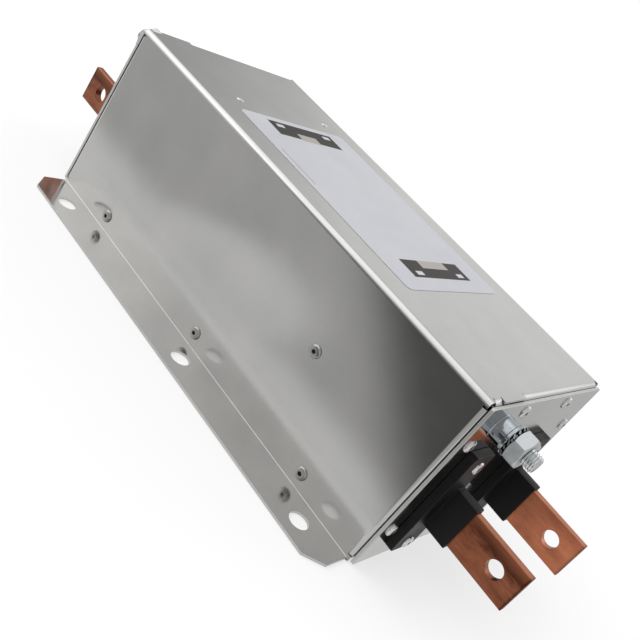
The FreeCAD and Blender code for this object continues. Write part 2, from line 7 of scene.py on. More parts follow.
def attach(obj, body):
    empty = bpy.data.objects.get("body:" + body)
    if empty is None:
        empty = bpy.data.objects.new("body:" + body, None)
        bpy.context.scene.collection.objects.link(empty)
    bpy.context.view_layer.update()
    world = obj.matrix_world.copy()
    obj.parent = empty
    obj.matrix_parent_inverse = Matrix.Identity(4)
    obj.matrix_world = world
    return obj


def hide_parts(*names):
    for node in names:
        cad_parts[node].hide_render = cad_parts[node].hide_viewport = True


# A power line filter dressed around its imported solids.
# +X runs along the bars to the load end, +Z is up through the rated face, side A is at -Y.
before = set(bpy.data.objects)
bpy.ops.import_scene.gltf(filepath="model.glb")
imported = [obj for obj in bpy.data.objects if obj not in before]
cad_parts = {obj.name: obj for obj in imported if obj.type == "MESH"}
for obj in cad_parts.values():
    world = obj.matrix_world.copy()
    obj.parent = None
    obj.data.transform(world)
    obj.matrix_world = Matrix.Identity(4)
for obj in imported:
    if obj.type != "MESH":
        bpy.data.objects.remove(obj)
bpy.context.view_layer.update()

# One millimetre in the scene's metres
MM = 0.001

# Camera, where the photograph was taken from
camera_place = (0.250660, -0.428281, 0.258985)
camera_right = (0.58500855, 0.59498079, 0.55114685)
camera_up = (-0.68735314, 0.00302546, 0.72631709)
camera_forward = (-0.43047724, 0.80373422, -0.41073183)
camera_lens = 48.465
camera_sensor = 36.0

# Sizes of the pieces that are modelled here, in millimetres
half_width = 72.0
roof = 116.0
plate_face = 158.3
insulator_face = 163.5
bar_spacing = 72.0
bar_top = 56.0
bar_end = 218.5

# Where the solids have an end's first points, the case's end, the plates' outer faces and their upper edges
end_from = 150.0
case_end = 155.0
plate_outer = 157.5
plate_upper_from = 112.0

# How close to these places a point has to lie to be picked, in millimetres
wall_margin = 0.05
seat_margin = 0.2
pick_margin = 0.5

# How far the photograph puts the case's ends, the plates' faces and their upper edges from the solids
case_growth = 1.3
plate_shift = 0.8
plate_drop = 1.3

# How wide edges are rounded, in millimetres
sheet_edge = 0.22
bar_edge = 0.25
moulding_edge = 0.7
nut_edge = 0.18
washer_edge = 0.08

# How much a face looks along X: less than the first is an edge of the plate, more than the second a bar's end
edge_facing = 0.5
end_facing = 0.8

# Tarnish on the bars: the streak's height, sway and reach, and where the ends' stain begins and is full
streak_height = 56.3
streak_sway = 12.0
streak_reach = 6.0
stain_from = 216.6
stain_full = 218.6

# Sizes and seats of the rivets, in millimetres
rivet_radius = 4.0
rivet_height = 1.4
rivet_foot = 0.15
rivet_hole_radius = 1.25
rivet_lip = 0.16
rivet_lip_drop = 0.12
rivet_brow = 0.3
mandrel_radius = 0.95
mandrel_sink = 0.5
mandrel_bevel = 0.1
mandrel_length = 0.4
rivet_steps = 32
small_rivet_radius = 2.5
small_rivet_height = 0.8
small_rivet_foot = 0.1

side_rivet_x = (-106.0, 0.0, 106.0)
side_rivet_z = 10.0
shelf_rivet = (68.8, 63.0)
end_rivets = ((-28.0, 107.5), (28.0, 107.5), (-60.5, 88.0), (60.5, 86.0), (-60.5, 25.5), (60.5, 25.5))
insulator_rivet_shift = 5.5
insulator_rivet_z = (16.5, 74.5)
roof_rivets = ((-91.5, -40.0), (-91.5, 45.5))

# Sizes and seats of the earth stud sets, in millimetres
stud_y = -46.5
stud_z = 100.5
boss_radius = 7.5
boss_length = 7.5
boss_chamfer = 0.3
boss_fillet = 0.4
collar_radius = 9.0
boss_end = 167.8
boss_steps = 64
nut_seat = 169.593
nut_height = 8.0
nut_flats = 17.0
nut_turn = 3.0
nut_land_inset = 0.25
nut_bore_inset = 0.3
nut_countersink = 0.6
nut_steps = 96
stud_tip = 184.3
stud_start = 157.5
stud_chamfer = 1.1
thread_radius = 5.0
thread_depth = 0.62
thread_pitch = 1.5
thread_slope = 1.35
thread_crest = 0.12
thread_steps = 48
rings_per_pitch = 8


# Making and placing pieces
def select_only(piece):
    """Deselect everything, then select one object and make it the active one."""
    bpy.ops.object.select_all(action="DESELECT")
    piece.select_set(True)
    bpy.context.view_layer.objects.active = piece


def start_edit(piece):
    """Open one object in edit mode with all of its mesh selected."""
    select_only(piece)
    bpy.ops.object.mode_set(mode="EDIT")
    bpy.ops.mesh.select_all(action="SELECT")


def apply_modifier(piece, kind, **settings):
    """Add one modifier with its settings and apply it."""
    select_only(piece)
    modifier = piece.modifiers.new(kind.title(), kind)
    for key, value in settings.items():
        setattr(modifier, key, value)
    bpy.ops.object.modifier_apply(modifier=modifier.name)


def soften(piece, width, segments, limit=40):
    """Round the sharp edges of a piece and keep its flat faces flat in shading."""
    apply_modifier(piece, "BEVEL", width=width * MM, segments=segments, limit_method="ANGLE",
                   angle_limit=math.radians(limit), use_clamp_overlap=True, harden_normals=False)
    for face in piece.data.polygons:
        face.use_smooth = True
    apply_modifier(piece, "WEIGHTED_NORMAL", weight=100, keep_sharp=True)


def cad_copy(node):
    """A copy of a CAD node's mesh, merged into whole faces."""
    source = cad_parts[node]
    piece = bpy.data.objects.new(node + "_body", source.data.copy())
    bpy.context.scene.collection.objects.link(piece)
    start_edit(piece)
    bpy.ops.mesh.customdata_custom_splitnormals_clear()
    bpy.ops.mesh.remove_doubles(threshold=0.001 * MM)
    bpy.ops.mesh.dissolve_limited(angle_limit=math.radians(0.4))
    bpy.ops.object.mode_set(mode="OBJECT")
    return piece


def nudge(piece, chosen, step):
    """Move the vertices that a test picks by a step in millimetres, its first part outward at either end."""
    for end in (-1, 1):
        start_edit(piece)
        bpy.ops.mesh.select_mode(type="VERT")
        bpy.ops.mesh.select_all(action="DESELECT")
        bpy.ops.object.mode_set(mode="OBJECT")
        picked = [vertex for vertex in piece.data.vertices
                  if chosen(end * vertex.co.x / MM, abs(vertex.co.y) / MM, vertex.co.z / MM)]
        for vertex in picked:
            vertex.select = True
        if picked:
            bpy.ops.object.mode_set(mode="EDIT")
            bpy.ops.transform.translate(value=(end * step[0] * MM, step[1] * MM, step[2] * MM))
            bpy.ops.object.mode_set(mode="OBJECT")


def turned(name, profile, steps):
    """A piece turned about Z, from a profile of (radius, height) points in millimetres."""
    bpy.ops.object.select_all(action="DESELECT")
    bpy.ops.mesh.primitive_plane_add(size=MM)
    piece = bpy.context.object
    piece.name = name
    bpy.ops.object.mode_set(mode="EDIT")
    bpy.ops.mesh.merge(type="CENTER")
    bpy.ops.transform.translate(value=(profile[0][0] * MM, 0, profile[0][1] * MM))
    for (radius, height), (next_radius, next_height) in zip(profile, profile[1:]):
        step = ((next_radius - radius) * MM, 0, (next_height - height) * MM)
        bpy.ops.mesh.extrude_region_move(TRANSFORM_OT_translate={"value": step})
    bpy.ops.mesh.select_all(action="SELECT")
    bpy.ops.mesh.spin(steps=steps, angle=2 * math.pi, center=(0, 0, 0), axis=(0, 0, 1))
    bpy.ops.mesh.select_all(action="SELECT")
    bpy.ops.mesh.remove_doubles(threshold=0.001 * MM)
    bpy.ops.mesh.normals_make_consistent(inside=False)
    bpy.ops.object.mode_set(mode="OBJECT")
    return piece


def arc(centre, radius, start, end, count):
    """Profile points along an arc, angles in degrees from the radius direction."""
    points = []
    for index in range(count + 1):
        angle = math.radians(start + (end - start) * index / count)
        points.append((centre[0] + radius * math.cos(angle), centre[1] + radius * math.sin(angle)))
    return points


def smooth(piece, angle):
    """Shade smooth, but keep edges sharper than the angle crisp."""
    select_only(piece)
    bpy.ops.object.shade_smooth_by_angle(angle=math.radians(angle))


def stand_on(piece, seat, outward):
    """Move a piece made about +Z to its seat, its axis pointing outward, by changing its mesh."""
    lean = Vector((0, 0, 1)).rotation_difference(Vector(outward)).to_matrix().to_4x4()
    piece.data.transform(Matrix.Translation(Vector(seat) * MM) @ lean)


def copies_on(piece, name, seats):
    """One copy of a piece on each (place, outward) seat, joined into one object."""
    made = []
    for seat, outward in seats:
        copy = bpy.data.objects.new(name, piece.data.copy())
        bpy.context.scene.collection.objects.link(copy)
        stand_on(copy, seat, outward)
        made.append(copy)
    bpy.data.objects.remove(piece)
    select_only(made[0])
    for copy in made:
        copy.select_set(True)
    bpy.ops.object.join()
    made[0].name = name
    return made[0]


def mark_faces(piece, material, chosen):
    """Give the faces that a test picks by their normal and their middle a second material."""
    piece.data.materials.clear()
    piece.data.materials.append(None)
    piece.data.materials.append(material)
    for face in piece.data.polygons:
        face.material_index = 1 if chosen(face.normal, face.center) else 0


def finish_piece(piece, material, slot, *nodes):
    """Give a new piece its material and its body, and hide the CAD nodes that it stands for; its slot is not
    used.
    """
    if not piece.data.materials:
        piece.data.materials.append(None)
    piece.data.materials[0] = material
    piece.data.name = piece.name
    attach(piece, "root")
    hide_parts(*nodes)


def dress(node, material):
    """Give a carried-over CAD node its material."""
    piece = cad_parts[node]
    piece.data.materials.clear()
    piece.data.materials.append(material)


# Node materials
def linear(colour):
    """An sRGB hex colour as linear red, green, blue and alpha."""
    parts = [int(colour[index:index + 2], 16) / 255 for index in (1, 3, 5)]
    made = [part / 12.92 if part <= 0.04045 else ((part + 0.055) / 1.055) ** 2.4 for part in parts]
    return (*made, 1.0)


def add(tree, kind, settings, links=()):
    """Add one node, with its properties or input values set and its inputs linked."""
    node = tree.nodes.new(kind)
    for key, value in settings.items():
        if isinstance(key, str) and hasattr(node, key):
            setattr(node, key, value)
        else:
            node.inputs[key].default_value = value
    for key, source in dict(links).items():
        tree.links.new(source, node.inputs[key])
    return node


def new_material(name, metallic, roughness):
    """A material with its shader set, its node tree and its Object coordinates."""
    material = bpy.data.materials.new(name)
    material.use_nodes = True
    tree = material.node_tree
    shader = tree.nodes["Principled BSDF"]
    shader.inputs["Metallic"].default_value = metallic
    shader.inputs["Roughness"].default_value = roughness
    where = add(tree, "ShaderNodeTexCoord", {}).outputs["Object"]
    return material, tree, shader, where


def noise(size, detail=3.0, roughness=0.55):
    """Settings of a noise pattern whose blotches are about this many millimetres wide."""
    return {"Scale": 1 / (size * MM), "Detail": detail, "Roughness": roughness}


def ramp(tree, value, low, high, start, end):
    """A soft step of a value from one level to another."""
    settings = {"interpolation_type": "SMOOTHSTEP", "From Min": low, "From Max": high,
                "To Min": start, "To Max": end}
    return add(tree, "ShaderNodeMapRange", settings, {"Value": value}).outputs[0]


def wire_surface(tree, shader, pattern, colours, roughness, relief, strength, depth):
    """Let a pattern mix a surface's two colours and its roughness, and raise a fine relief out of it."""
    tones = {"data_type": "RGBA", 6: linear(colours[0]), 7: linear(colours[1])}
    colour = add(tree, "ShaderNodeMix", tones, {0: pattern})
    tree.links.new(colour.outputs[2], shader.inputs["Base Color"])
    # A noise pattern lies between these two levels nearly everywhere.
    levels = {"From Min": 0.3, "From Max": 0.7, "To Min": roughness[0], "To Max": roughness[1]}
    rough = add(tree, "ShaderNodeMapRange", levels, {"Value": pattern})
    tree.links.new(rough.outputs[0], shader.inputs["Roughness"])
    bump = add(tree, "ShaderNodeBump", {"Strength": strength, "Distance": depth * MM}, {"Height": relief})
    tree.links.new(bump.outputs[0], shader.inputs["Normal"])


def sheet_steel(name, dark, light, rough_low, rough_high, wave=0.16, depth=0.001):
    """Cold-rolled sheet steel with an electroplated zinc skin: an even grey metal with a fine speckle,
    soft clouds where the plating varies, and faces that are never quite flat."""
    material, tree, shader, where = new_material(name, 1.0, rough_low)
    # The speckle is about 0.3 mm in truth and is drawn three times as coarse, so that it shows.
    rolled = add(tree, "ShaderNodeMapping", {"Scale": (0.45, 1.0, 1.0)}, {"Vector": where}).outputs["Vector"]
    speckle = add(tree, "ShaderNodeTexNoise", noise(0.9, 2.0), {"Vector": rolled}).outputs["Fac"]
    clouds = add(tree, "ShaderNodeTexNoise", noise(38, 3.0), {"Vector": where}).outputs["Fac"]
    share = add(tree, "ShaderNodeMath", {"operation": "MULTIPLY_ADD", 1: 0.55}, {0: speckle, 2: clouds})
    mixed = add(tree, "ShaderNodeMapRange", {"From Min": 0.45, "From Max": 1.1}, {"Value": share.outputs[0]})
    tones = {"data_type": "RGBA", 6: linear(dark), 7: linear(light)}
    colour = add(tree, "ShaderNodeMix", tones, {0: mixed.outputs[0]})
    tree.links.new(colour.outputs[2], shader.inputs["Base Color"])
    levels = {"From Min": 0.3, "From Max": 0.75, "To Min": rough_low, "To Max": rough_high}
    rough = add(tree, "ShaderNodeMapRange", levels, {"Value": clouds})
    tree.links.new(rough.outputs[0], shader.inputs["Roughness"])
    wavy = add(tree, "ShaderNodeTexNoise", noise(70, 1.0), {"Vector": where}).outputs["Fac"]
    waves = add(tree, "ShaderNodeBump", {"Strength": 1.0, "Distance": wave * MM}, {"Height": wavy})
    pits = add(tree, "ShaderNodeBump", {"Strength": 0.5, "Distance": depth * MM},
               {"Height": speckle, "Normal": waves.outputs[0]})
    tree.links.new(pits.outputs[0], shader.inputs["Normal"])
    return material


def drawn_copper(name):
    """Drawn electrolytic copper bar, bare: a warm brown-orange metal with faint lengthwise die lines,
    mottled with tarnish, browner on the bar of side A, in a streak along it and close to the sawn ends; that
    bar's top face is kept lighter, a painted highlight."""
    material, tree, shader, where = new_material(name, 1.0, 0.34)
    along = add(tree, "ShaderNodeMapping", {"Scale": (0.04, 1.0, 1.0)}, {"Vector": where}).outputs["Vector"]
    lines = add(tree, "ShaderNodeTexNoise", noise(0.8, 3.0), {"Vector": along}).outputs["Fac"]
    across = add(tree, "ShaderNodeMapping", {"Scale": (0.4, 1.0, 1.0)}, {"Vector": where}).outputs["Vector"]
    stains = add(tree, "ShaderNodeTexNoise", noise(7, 5.0, 0.65), {"Vector": across}).outputs["Fac"]
    x, y, z = add(tree, "ShaderNodeSeparateXYZ", {}, {0: where}).outputs
    # Tarnish lies on the bar of side A and fades on its upper edge, so its top face stays lighter: a painted
    # highlight.
    side = ramp(tree, y, -0.01, 0.01, 1.0, 0.0)
    below = ramp(tree, z, (bar_top - 0.6) * MM, bar_top * MM, 1.0, 0.3)
    tarnish_with_painted_lit_top = add(tree, "ShaderNodeMath", {"operation": "MULTIPLY"}, {0: side, 1: below}).outputs[0]
    # The streak sways up and down with the stains.
    sway = {"operation": "MULTIPLY_ADD", 1: streak_sway * MM}
    wander = add(tree, "ShaderNodeMath", sway, {0: stains, 2: z}).outputs[0]
    level = {"operation": "SUBTRACT", 1: streak_height * MM}
    away = add(tree, "ShaderNodeMath", level, {0: wander}).outputs[0]
    away = add(tree, "ShaderNodeMath", {"operation": "ABSOLUTE"}, {0: away}).outputs[0]
    streak = ramp(tree, away, 0.0, streak_reach * MM, 0.75, 0.0)
    darker = {"operation": "MULTIPLY_ADD", 1: 0.38, 2: 0.36}
    share = add(tree, "ShaderNodeMath", darker, {0: streak}).outputs[0]
    share = add(tree, "ShaderNodeMath", {"operation": "MULTIPLY"}, {0: share, 1: tarnish_with_painted_lit_top}).outputs[0]
    # Stains and die lines lie on both bars, and so does the stain of the sawn ends.
    for weight, pattern in ((0.9, stains), (0.3, lines)):
        weighed = {"operation": "MULTIPLY_ADD", 1: weight}
        share = add(tree, "ShaderNodeMath", weighed, {0: pattern, 2: share}).outputs[0]
    outward = add(tree, "ShaderNodeMath", {"operation": "ABSOLUTE"}, {0: x}).outputs[0]
    stained = ramp(tree, outward, stain_from * MM, stain_full * MM, 0.0, 0.36)
    share = add(tree, "ShaderNodeMath", {"operation": "ADD"}, {0: share, 1: stained}).outputs[0]
    share = add(tree, "ShaderNodeMapRange", {"From Min": 0.34, "From Max": 1.34}, {"Value": share}).outputs[0]
    tones = {"data_type": "RGBA", 6: linear("#C27A5A"), 7: linear("#4F2C20")}
    colour = add(tree, "ShaderNodeMix", tones, {0: share})
    tree.links.new(colour.outputs[2], shader.inputs["Base Color"])
    rough = add(tree, "ShaderNodeMapRange", {"To Min": 0.26, "To Max": 0.46}, {"Value": share})
    tree.links.new(rough.outputs[0], shader.inputs["Roughness"])
    bump = add(tree, "ShaderNodeBump", {"Strength": 0.6, "Distance": 0.02 * MM}, {"Height": lines})
    tree.links.new(bump.outputs[0], shader.inputs["Normal"])
    return material


def moulded(name, dark, light, roughness, grain=0.7, depth=0.02, gloss=0.5):
    """Moulded plastic, and pressed or coated parts like it: one even colour with a fine texture and faint
    clouds, from the tool and the way the material flowed."""
    material, tree, shader, where = new_material(name, 0.0, roughness)
    shader.inputs["Specular IOR Level"].default_value = gloss
    texture = add(tree, "ShaderNodeTexNoise", noise(grain, 2.0), {"Vector": where}).outputs["Fac"]
    clouds = add(tree, "ShaderNodeTexNoise", noise(14, 3.0), {"Vector": where}).outputs["Fac"]
    levels = (roughness - 0.06, roughness + 0.08)
    wire_surface(tree, shader, clouds, (dark, light), levels, texture, 0.7, depth)
    return material


def bright_metal(name, dark, light, rough_low, rough_high, size=2.5):
    """Small metalwork, plated, pressed or cut: a metal skin with slight blotches and fine tool marks."""
    material, tree, shader, where = new_material(name, 1.0, rough_low)
    blotches = add(tree, "ShaderNodeTexNoise", noise(size, 3.0), {"Vector": where}).outputs["Fac"]
    marks = add(tree, "ShaderNodeTexNoise", noise(0.5, 2.0), {"Vector": where}).outputs["Fac"]
    wire_surface(tree, shader, blotches, (dark, light), (rough_low, rough_high), marks, 0.4, 0.003)
    return material


# Fields printed on the label: x and y of the middle, half sizes, and which ink, in millimetres
label_fields = (
    (-67.0, 2.0, 7.5, 32.0, "dark"),
    (-70.5, -20.5, 1.6, 3.6, "film"), (-70.5, 26.5, 1.6, 3.6, "film"),
    (-62.0, 0.5, 3.6, 9.5, "pale"),
    (61.0, 0.5, 7.3, 32.0, "dark"),
    (64.6, -22.0, 1.6, 3.6, "film"), (64.6, 24.0, 1.6, 3.6, "film"),
    (56.8, 1.5, 3.2, 14.5, "pale"),
    (-24.5, -46.0, 16.5, 0.3, "grey"),
)
inks = {"dark": "#26221F", "film": "#C8C8CD", "pale": "#A8A29C", "grey": "#77777C"}


def printed_film(name):
    """Pale silver polyester film with screen-printed fields: smooth, slightly pearly, its edges crisp."""
    material, tree, shader, where = new_material(name, 0.0, 0.5)
    shader.inputs["Specular IOR Level"].default_value = 0.25
    pearl = add(tree, "ShaderNodeTexNoise", noise(26, 3.0), {"Vector": where}).outputs["Fac"]
    made = add(tree, "ShaderNodeMix", {"data_type": "RGBA", 6: linear("#BABBC2"), 7: linear("#C7C7CB")},
               {0: pearl}).outputs[2]
    soft = 0.08 * MM
    for x, y, half_x, half_y, ink in label_fields:
        from_middle = add(tree, "ShaderNodeVectorMath", {"operation": "SUBTRACT", 1: (x * MM, y * MM, 0)},
                          {0: where}).outputs[0]
        apart = add(tree, "ShaderNodeVectorMath", {"operation": "ABSOLUTE"}, {0: from_middle}).outputs[0]
        split = add(tree, "ShaderNodeSeparateXYZ", {}, {0: apart}).outputs
        inside = []
        for distance, half in ((split[0], half_x * MM), (split[1], half_y * MM)):
            edge = {"From Min": half - soft, "From Max": half + soft, "To Min": 1.0, "To Max": 0.0}
            inside.append(add(tree, "ShaderNodeMapRange", edge, {"Value": distance}).outputs[0])
        both = add(tree, "ShaderNodeMath", {"operation": "MULTIPLY"}, {0: inside[0], 1: inside[1]}).outputs[0]
        made = add(tree, "ShaderNodeMix", {"data_type": "RGBA", 7: linear(inks[ink])},
                   {0: both, 6: made}).outputs[2]
    tree.links.new(made, shader.inputs["Base Color"])
    orange_peel = add(tree, "ShaderNodeTexNoise", noise(1.2, 2.0), {"Vector": where}).outputs["Fac"]
    bump = add(tree, "ShaderNodeBump", {"Strength": 0.3, "Distance": 0.01 * MM}, {"Height": orange_peel})
    tree.links.new(bump.outputs[0], shader.inputs["Normal"])
    return material


# The case: a satin zinc skin with broad, soft reflections.
case_steel = sheet_steel("zinc_plated_sheet_steel_case", "#B0B0AF", "#BEBDBB", 0.13, 0.19)
# The end plates: flatter and glossier, so that they mirror the mouldings clearly.
end_steel = sheet_steel("zinc_plated_sheet_steel_end", "#ADADAC", "#BAB9B7", 0.1, 0.15,
                        wave=0.08, depth=0.0001)
# Their sheared edges: torn by the cut, so rough and pale.
cut_steel = sheet_steel("zinc_plated_sheet_steel_sheared_edge", "#BCBCBA", "#CECDCA", 0.5, 0.62)
# The sheets inside: a duller plating.
inner_steel = sheet_steel("zinc_plated_sheet_steel_inside", "#A0A1A1", "#B6B6B4", 0.26, 0.38)
# The bars: bare and warm, mottled by handling. Their sawn ends: dull and brown, with the saw's grain.
bar_copper = drawn_copper("bare_drawn_copper")
sawn_copper = bright_metal("copper_sawn_tarnished", "#55382B", "#7A5545", 0.45, 0.6, size=1.2)
# The mouldings: nearly black, with a faint, wide gleam.
black_nylon = moulded("glass_filled_black_nylon_moulded", "#0A0A0B", "#121213", 0.5, depth=0.008, gloss=0.22)
# The rivets: pressed smooth and bright, round a dark broken mandrel whose dark metal also lines the hole as
# painted shade. The copy for the case's sides is greyer, as painted shade.
rivet_aluminium = bright_metal("aluminium_blind_rivet_pressed", "#B6B6B4", "#DEDDDA", 0.18, 0.28)
rivet_aluminium_painted_shade = bright_metal("aluminium_blind_rivet_pressed_painted_shade", "#858583", "#B0AFAC", 0.2, 0.32)
# The dark mandrel metal also goes on the rivet hole's walls, as painted shade.
mandrel_steel_and_hole_shade = bright_metal("steel_rivet_mandrel_broken_and_painted_hole_shade", "#2A2826", "#46423E", 0.4, 0.6)
# The studs: bright threads. The bosses: the same nickel, turned smoother and glossier, its colour made darker
# as painted shade.
turned_nickel = bright_metal("nickel_plated_steel_turned", "#A9ADB0", "#D3D5D6", 0.12, 0.24)
barrel_nickel_painted_shade = bright_metal("nickel_plated_steel_barrel_turned_painted_shade", "#868C91", "#ABB1B5", 0.07, 0.14)
# The nuts: a pale and silky zinc. The washers: stamped, dark grey.
nut_zinc = bright_metal("zinc_plated_steel_nut", "#B2B6B8", "#D2D5D6", 0.5, 0.6, size=1.6)
washer_steel = bright_metal("nickel_plated_spring_steel_stamped", "#66696B", "#979A9B", 0.15, 0.3)
# The label: a pale, even film that hardly shines.
label_film = printed_film("printed_polyester_film")
# Inside: charcoal ferrite, ivory nylon, tan board, cream capacitors and a glossy green enamel.
core_ferrite = moulded("sintered_ferrite_core", "#1D1D20", "#2B2B2E", 0.55, grain=0.4, depth=0.03)
cradle_nylon = moulded("natural_nylon_moulded", "#C3BFAE", "#D2CFBF", 0.4)
spacer_board = moulded("laminated_fibre_board", "#8C7440", "#A58B52", 0.6, grain=1.2, depth=0.03)
capacitor_case = moulded("polyester_capacitor_case_moulded", "#BDB59A", "#CCC5AC", 0.3)
resistor_enamel = moulded("vitreous_enamel_resistor", "#5F7264", "#6F8374", 0.2, grain=1.5, depth=0.03)


# The folded case, its end plates, the copper bars and the mouldings, with their edges rounded
def make_cover():
    """The cover from its CAD shape, with lightly rounded edges that catch the light."""
    piece = cad_copy("cover")
    nudge(piece, lambda x, y, z: x > end_from and y < half_width + wall_margin, (case_growth, 0, 0))
    soften(piece, sheet_edge, 2)
    finish_piece(piece, case_steel, "case_sheet", "cover")


def make_end_plates():
    """The end plates, fitted to the photograph, with light sheared edges."""
    for node in ("end_plate_line", "end_plate_load"):
        piece = cad_copy(node)
        nudge(piece, lambda x, y, z: x > plate_outer - pick_margin, (plate_shift, 0, 0))
        nudge(piece, lambda x, y, z: abs(x - case_end) < pick_margin, (case_growth, 0, 0))
        nudge(piece, lambda x, y, z: x > end_from and z > plate_upper_from, (0, 0, -plate_drop))
        soften(piece, sheet_edge, 2)
        mark_faces(piece, cut_steel, lambda normal, middle: abs(normal.x) < edge_facing)
        finish_piece(piece, end_steel, "end_sheet", node)


def make_bars():
    """The copper bars, their edges broken and their sawn ends dull."""
    tip = (bar_end - pick_margin) * MM
    for node in ("busbar_a", "busbar_b"):
        piece = cad_copy(node)
        soften(piece, bar_edge, 2)
        mark_faces(piece, sawn_copper,
                   lambda normal, middle: abs(normal.x) > end_facing and abs(middle.x) > tip)
        finish_piece(piece, bar_copper, "bar_copper", node)


def make_insulators():
    """The black mouldings, with the soft edges of a moulded part."""
    for node in ("insulator_a_line", "insulator_b_line", "insulator_a_load", "insulator_b_load"):
        piece = cad_copy(node)
        nudge(piece, lambda x, y, z: abs(x - plate_outer) < seat_margin, (plate_shift, 0, 0))
        soften(piece, moulding_edge, 3, 50)
        finish_piece(piece, black_nylon, "insulator_plastic", node)


# Rivets
def blind_rivet():
    """A set blind rivet about +Z: a low dome round a sunken mandrel stub."""
    stub_top = rivet_height - mandrel_sink
    hole_floor = stub_top - mandrel_length
    rim = rivet_height - rivet_lip_drop
    brow = rivet_hole_radius + rivet_brow
    profile = [(0, stub_top), (mandrel_radius * 0.8, stub_top), (mandrel_radius, stub_top - mandrel_bevel)]
    profile += [(mandrel_radius, hole_floor), (rivet_hole_radius, hole_floor), (rivet_hole_radius, rim)]
    profile += arc((rivet_hole_radius + rivet_lip, rim), rivet_lip, 180, 90, 3)
    for share in (0.25, 0.5, 0.7, 0.85, 0.95, 1.0):
        lift = math.sqrt(1 - share ** 2)
        profile.append((brow + (rivet_radius - brow) * share, rivet_foot + rim * lift ** 0.9))
    profile += [(rivet_radius, 0.0), (0, 0.0)]
    piece = turned("rivet", profile, rivet_steps)
    smooth(piece, 40)
    # The mandrel's dark metal covers what lies inside the hole, the hole's walls too as painted shade, and
    # not the underside.
    reach = (rivet_hole_radius + 0.02) * MM
    mark_faces(piece, mandrel_steel_and_hole_shade, lambda normal, middle: middle.xy.length < reach and middle.z > 0.05 * MM)
    return piece


def make_rivets():
    """The blind rivets of the sides, the ends and the insulators, and the small ones in the roof."""
    side_seats = []
    for side in (-1, 1):
        places = [(x, side_rivet_z) for x in side_rivet_x] + [shelf_rivet]
        side_seats += [((x, side * half_width, z), (0, side, 0)) for x, z in places]
    end_seats = []
    insulator_seats = []
    for end in (-1, 1):
        end_seats += [((end * plate_face, y, z), (end, 0, 0)) for y, z in end_rivets]
        for bar_y in (-bar_spacing / 2, bar_spacing / 2):
            y = bar_y - end * insulator_rivet_shift
            insulator_seats += [((end * insulator_face, y, z), (end, 0, 0)) for z in insulator_rivet_z]
    # The side rivets take the greyer copy of the aluminium, painted shade.
    groups = (("side_rivets", side_seats, rivet_aluminium_painted_shade), ("end_rivets", end_seats, rivet_aluminium),
              ("insulator_rivets", insulator_seats, rivet_aluminium))
    for name, seats, metal in groups:
        heads = copies_on(blind_rivet(), name + "_heads", seats)
        finish_piece(heads, metal, "rivet_metal", name)
    dome = small_rivet_height - small_rivet_foot
    profile = [(0, small_rivet_height)]
    for share in (0.3, 0.55, 0.75, 0.9, 1.0):
        profile.append((small_rivet_radius * share, small_rivet_foot + dome * math.sqrt(1 - share ** 2)))
    profile += [(small_rivet_radius, 0), (0, 0)]
    piece = turned("small_rivet", profile, rivet_steps)
    smooth(piece, 50)
    heads = copies_on(piece, "roof_rivets_heads", [((x, y, roof), (0, 0, 1)) for x, y in roof_rivets])
    finish_piece(heads, rivet_aluminium, "rivet_metal", "roof_rivets")


# Earth stud sets
def both_ends(piece, name, x, turn=0):
    """A piece made about +Z, turned and set on the stud's axis at both ends, x away from the middle."""
    piece.data.transform(Matrix.Rotation(math.radians(turn), 4, "Z"))
    seats = [((end * x, stud_y, stud_z), (end, 0, 0)) for end in (-1, 1)]
    return copies_on(piece, name, seats)


def make_bosses():
    """The turned spacer: barrel, fillet and collar, with small turned chamfers."""
    full = boss_end - plate_face
    profile = [(thread_radius, 0), (boss_radius + boss_chamfer, 0), (boss_radius, boss_chamfer),
               (boss_radius, boss_length - boss_fillet), (boss_radius + boss_fillet, boss_length),
               (collar_radius - boss_chamfer, boss_length), (collar_radius, boss_length + boss_chamfer),
               (collar_radius, full - boss_chamfer), (collar_radius - boss_chamfer, full),
               (thread_radius, full), (thread_radius, 0)]
    piece = turned("boss", profile, boss_steps)
    smooth(piece, 35)
    bosses = both_ends(piece, "earth_bosses_turned", plate_face)
    # The bosses take the darker copy of the nickel, painted shade.
    finish_piece(bosses, barrel_nickel_painted_shade, "stud_metal", "earth_bosses")


def make_studs():
    """The threaded stud: a fine tube of rings whose radius follows the thread, with a chamfered tip."""
    length = stud_tip - stud_start
    rings = round(length / thread_pitch * rings_per_pitch)
    step = length / rings
    profile = [(0, 0)] + [(thread_radius, step * index) for index in range(rings + 1)] + [(0, length)]
    piece = turned("stud", profile, thread_steps)
    root = (thread_radius - thread_depth) * MM
    for vertex in piece.data.vertices:
        if vertex.co.xy.length < root:
            continue
        angle = math.atan2(vertex.co.y, vertex.co.x) / (2 * math.pi)
        height = vertex.co.z / MM
        phase = (height / thread_pitch - angle) % 1.0
        flank = thread_slope * (1 - abs(2 * phase - 1)) - thread_crest
        depth = thread_depth * min(1.0, max(0.0, flank))
        depth = max(depth, stud_chamfer - (length - height))
        vertex.co.xy *= (thread_radius - depth) / thread_radius
    smooth(piece, 50)
    studs = both_ends(piece, "earth_studs_threaded", stud_start)
    finish_piece(studs, turned_nickel, "stud_metal", "earth_studs")


